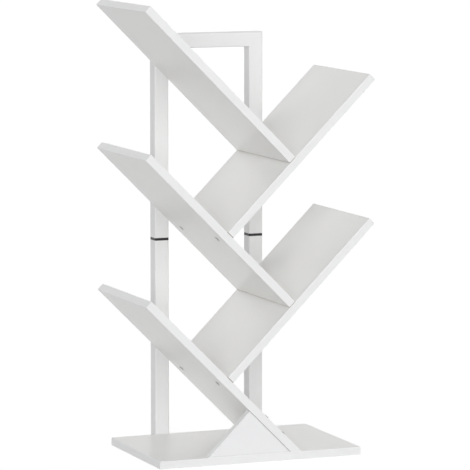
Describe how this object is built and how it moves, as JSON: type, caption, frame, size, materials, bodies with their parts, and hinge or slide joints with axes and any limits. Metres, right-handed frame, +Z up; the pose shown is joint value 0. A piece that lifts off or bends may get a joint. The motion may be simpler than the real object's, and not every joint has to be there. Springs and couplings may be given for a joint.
{
  "type": "tree shaped bookshelf",
  "caption": "Free-standing tree bookshelf: slanted boards stand square on each other in front of a split square-tube frame.",
  "frame": {"origin": "on the floor, at the middle of the object's width and depth", "axes": "+X to the right seen from the front, +Y to the back where the tube frame stands, +Z up"},
  "size_m": [0.4522, 0.2962, 0.8463],
  "materials": {
    "white_melamine": "satin white melamine board with matching edge band",
    "white_powder_coat": "satin white powder coat",
    "black_plastic": "matt moulded black",
    "grey_plastic": "matt moulded grey",
    "white_plastic": "satin moulded white",
    "zinc_steel": "bright zinc plated",
    "brass": "machined"
  },
  "bodies": {
    "root": {"base_board": "white_melamine", "front_gusset": "white_melamine", "bottom_left_shelf": "white_melamine", "lower_right_shelf": "white_melamine", "middle_left_shelf": "white_melamine", "upper_right_shelf": "white_melamine", "top_left_shelf": "white_melamine", "top_rail": "white_powder_coat", "upper_left_post": "white_powder_coat", "upper_right_post": "white_powder_coat", "lower_left_post": "white_powder_coat", "lower_right_post": "white_powder_coat", "left_collar": "black_plastic", "right_collar": "black_plastic", "left_sleeve": "zinc_steel", "right_sleeve": "zinc_steel", "left_foot_plug": "grey_plastic", "right_foot_plug": "grey_plastic", "bottom_left_bolt": "zinc_steel", "lower_right_bolt": "zinc_steel", "middle_left_bolt": "zinc_steel", "upper_right_bolt": "zinc_steel", "top_left_bolt": "zinc_steel", "base_left_bolt": "zinc_steel", "base_right_bolt": "zinc_steel", "bottom_left_insert": "brass", "lower_right_insert": "brass", "middle_left_insert": "brass", "upper_right_insert": "brass", "top_left_insert": "brass", "base_left_insert": "brass", "base_right_insert": "brass", "lower_right_shelf_front_screw": "zinc_steel", "lower_right_shelf_back_screw": "zinc_steel", "middle_left_shelf_front_screw": "zinc_steel", "middle_left_shelf_back_screw": "zinc_steel", "upper_right_shelf_front_screw": "zinc_steel", "upper_right_shelf_back_screw": "zinc_steel", "top_left_shelf_front_screw": "zinc_steel", "top_left_shelf_back_screw": "zinc_steel", "foot_front_screw": "zinc_steel", "foot_back_screw": "zinc_steel", "gusset_base_screw_1": "zinc_steel", "gusset_base_screw_2": "zinc_steel", "gusset_shelf_screw_1": "zinc_steel", "gusset_shelf_screw_2": "zinc_steel", "lower_right_shelf_front_cap": "white_plastic", "lower_right_shelf_back_cap": "white_plastic", "middle_left_shelf_front_cap": "white_plastic", "middle_left_shelf_back_cap": "white_plastic", "upper_right_shelf_front_cap": "white_plastic", "upper_right_shelf_back_cap": "white_plastic", "top_left_shelf_front_cap": "white_plastic", "top_left_shelf_back_cap": "white_plastic", "gusset_shelf_cap_1": "white_plastic", "gusset_shelf_cap_2": "white_plastic"}
  },
  "joints": []
}
